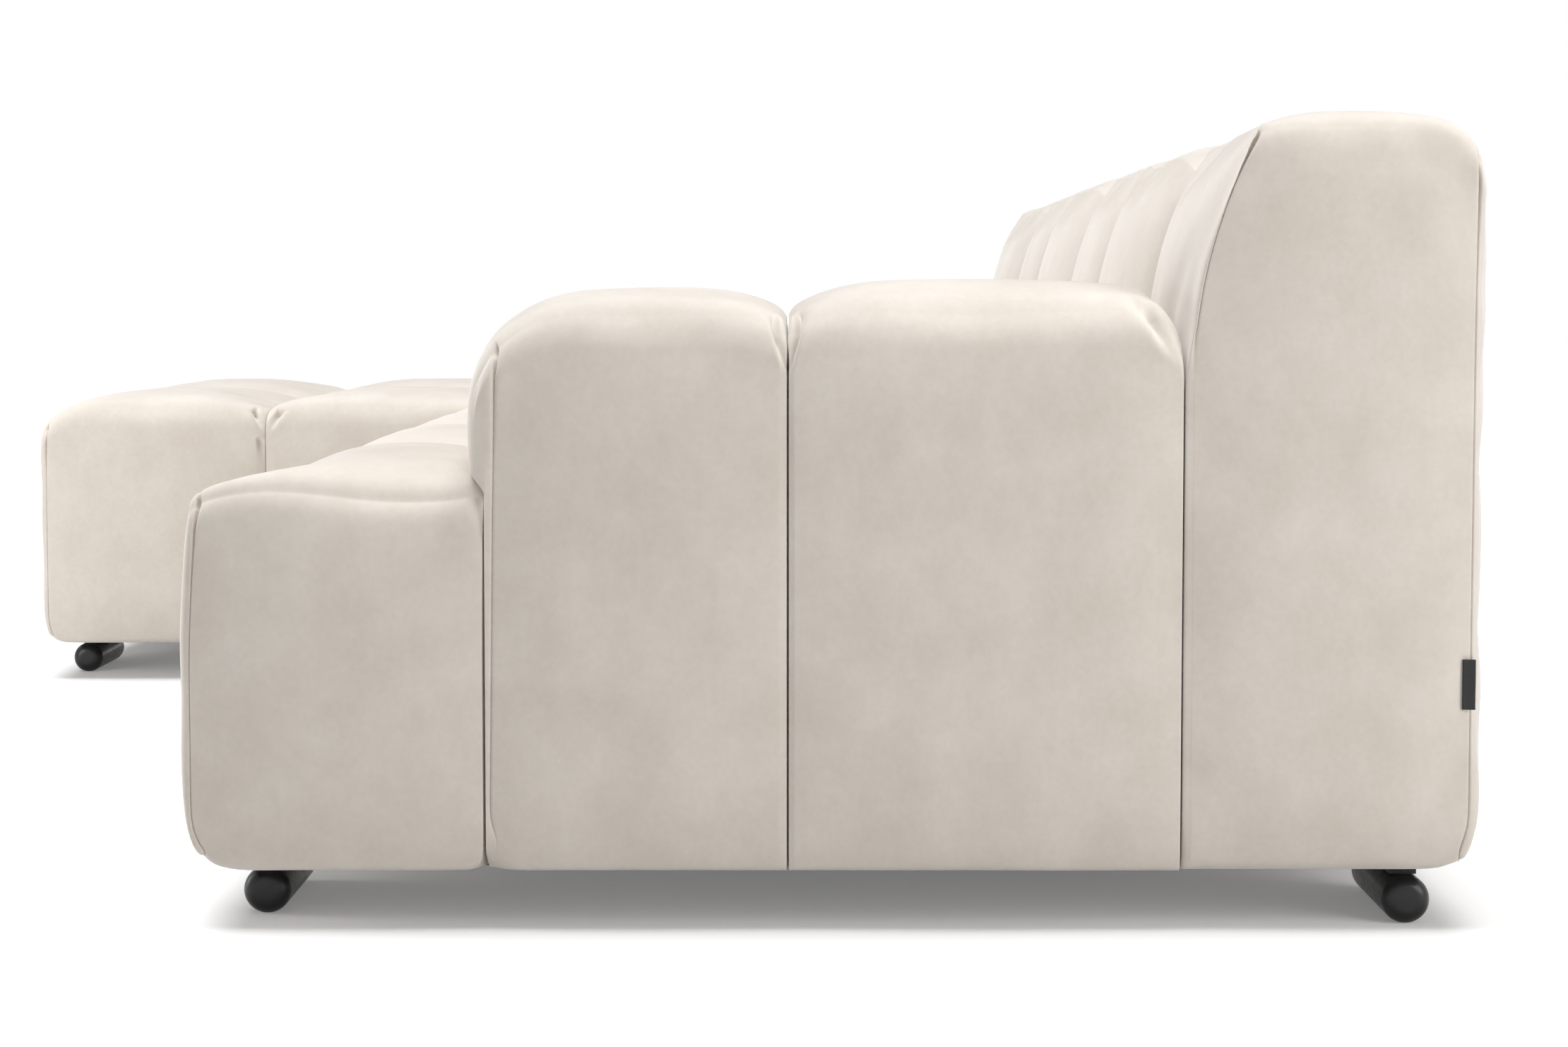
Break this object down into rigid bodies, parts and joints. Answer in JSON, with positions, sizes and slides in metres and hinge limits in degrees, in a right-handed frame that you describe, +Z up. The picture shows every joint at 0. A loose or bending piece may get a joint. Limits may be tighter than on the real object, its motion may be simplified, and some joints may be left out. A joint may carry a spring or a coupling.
{
  "type": "lounge sofa",
  "caption": "Low L-shaped lounge sofa with a chaise, one arm, channel-tufted velvet padding and lying cylinder feet.",
  "frame": {"origin": "on the floor, under the middle of the whole outline", "axes": "+X along the length towards the arm end, +Y towards the back, +Z up"},
  "size_m": [2.8, 1.675, 0.7],
  "materials": {
    "velvet": "short-pile velvet, cream greige",
    "foam": "open-cell foam",
    "felt": "pressed felt",
    "dust_cloth": "black non-woven cloth",
    "tab_black": "plain woven tape, bare",
    "foot_black": "black satin lacquer",
    "mount_black": "moulded black",
    "spring_steel": "drawn wire",
    "zinc_steel": "zinc plated",
    "timber": "planed softwood and plywood"
  },
  "bodies": {
    "sofa_unit": {"arm_base_rail": "timber", "arm_foam": "foam", "arm_front_pad": "velvet", "arm_inner_board": "timber", "arm_outer_board": "timber", "arm_posts": "timber", "arm_rear_pad": "velvet", "arm_top_board": "timber", "seat_front_pad": "velvet", "seat_pad": "velvet", "side_tab": "tab_black", "sofa_back_board": "timber", "sofa_back_foam": "foam", "sofa_back_pad": "velvet", "sofa_back_posts": "timber", "sofa_back_top_rail": "timber", "sofa_corner_blocks": "timber", "sofa_cross_rails": "timber", "sofa_deck_felt": "felt", "sofa_dust_cover": "dust_cloth", "sofa_end_rails": "timber", "sofa_foot_bolts": "zinc_steel", "sofa_foot_front_far": "foot_black", "sofa_foot_front_near": "foot_black", "sofa_foot_mounts": "mount_black", "sofa_foot_rear_far": "foot_black", "sofa_foot_rear_near": "foot_black", "sofa_front_rail": "timber", "sofa_hook_screws": "zinc_steel", "sofa_hooks": "zinc_steel", "sofa_rear_rail": "timber", "sofa_seat_foam": "foam", "sofa_spring_clips": "spring_steel", "sofa_spring_rail": "timber", "sofa_springs": "spring_steel"},
    "chaise_unit": {"chaise_back_board": "timber", "chaise_back_foam": "foam", "chaise_back_pad": "velvet", "chaise_back_posts": "timber", "chaise_back_top_rail": "timber", "chaise_corner_blocks": "timber", "chaise_cross_rails": "timber", "chaise_deck_felt": "felt", "chaise_dust_cover": "dust_cloth", "chaise_end_rails": "timber", "chaise_foot_bolts": "zinc_steel", "chaise_foot_front_far": "foot_black", "chaise_foot_front_near": "foot_black", "chaise_foot_mounts": "mount_black", "chaise_foot_rear_far": "foot_black", "chaise_foot_rear_near": "foot_black", "chaise_front_rail": "timber", "chaise_hook_screws": "zinc_steel", "chaise_hooks": "zinc_steel", "chaise_pad": "velvet", "chaise_rear_rail": "timber", "chaise_seat_foam": "foam", "chaise_spring_clips": "spring_steel", "chaise_springs": "spring_steel"}
  },
  "joints": [
    {"name": "chaise_lift", "type": "slide", "parent": "sofa_unit", "child": "chaise_unit", "axis": [0, 0, 1], "range_m": [0, 0.06]}
  ]
}
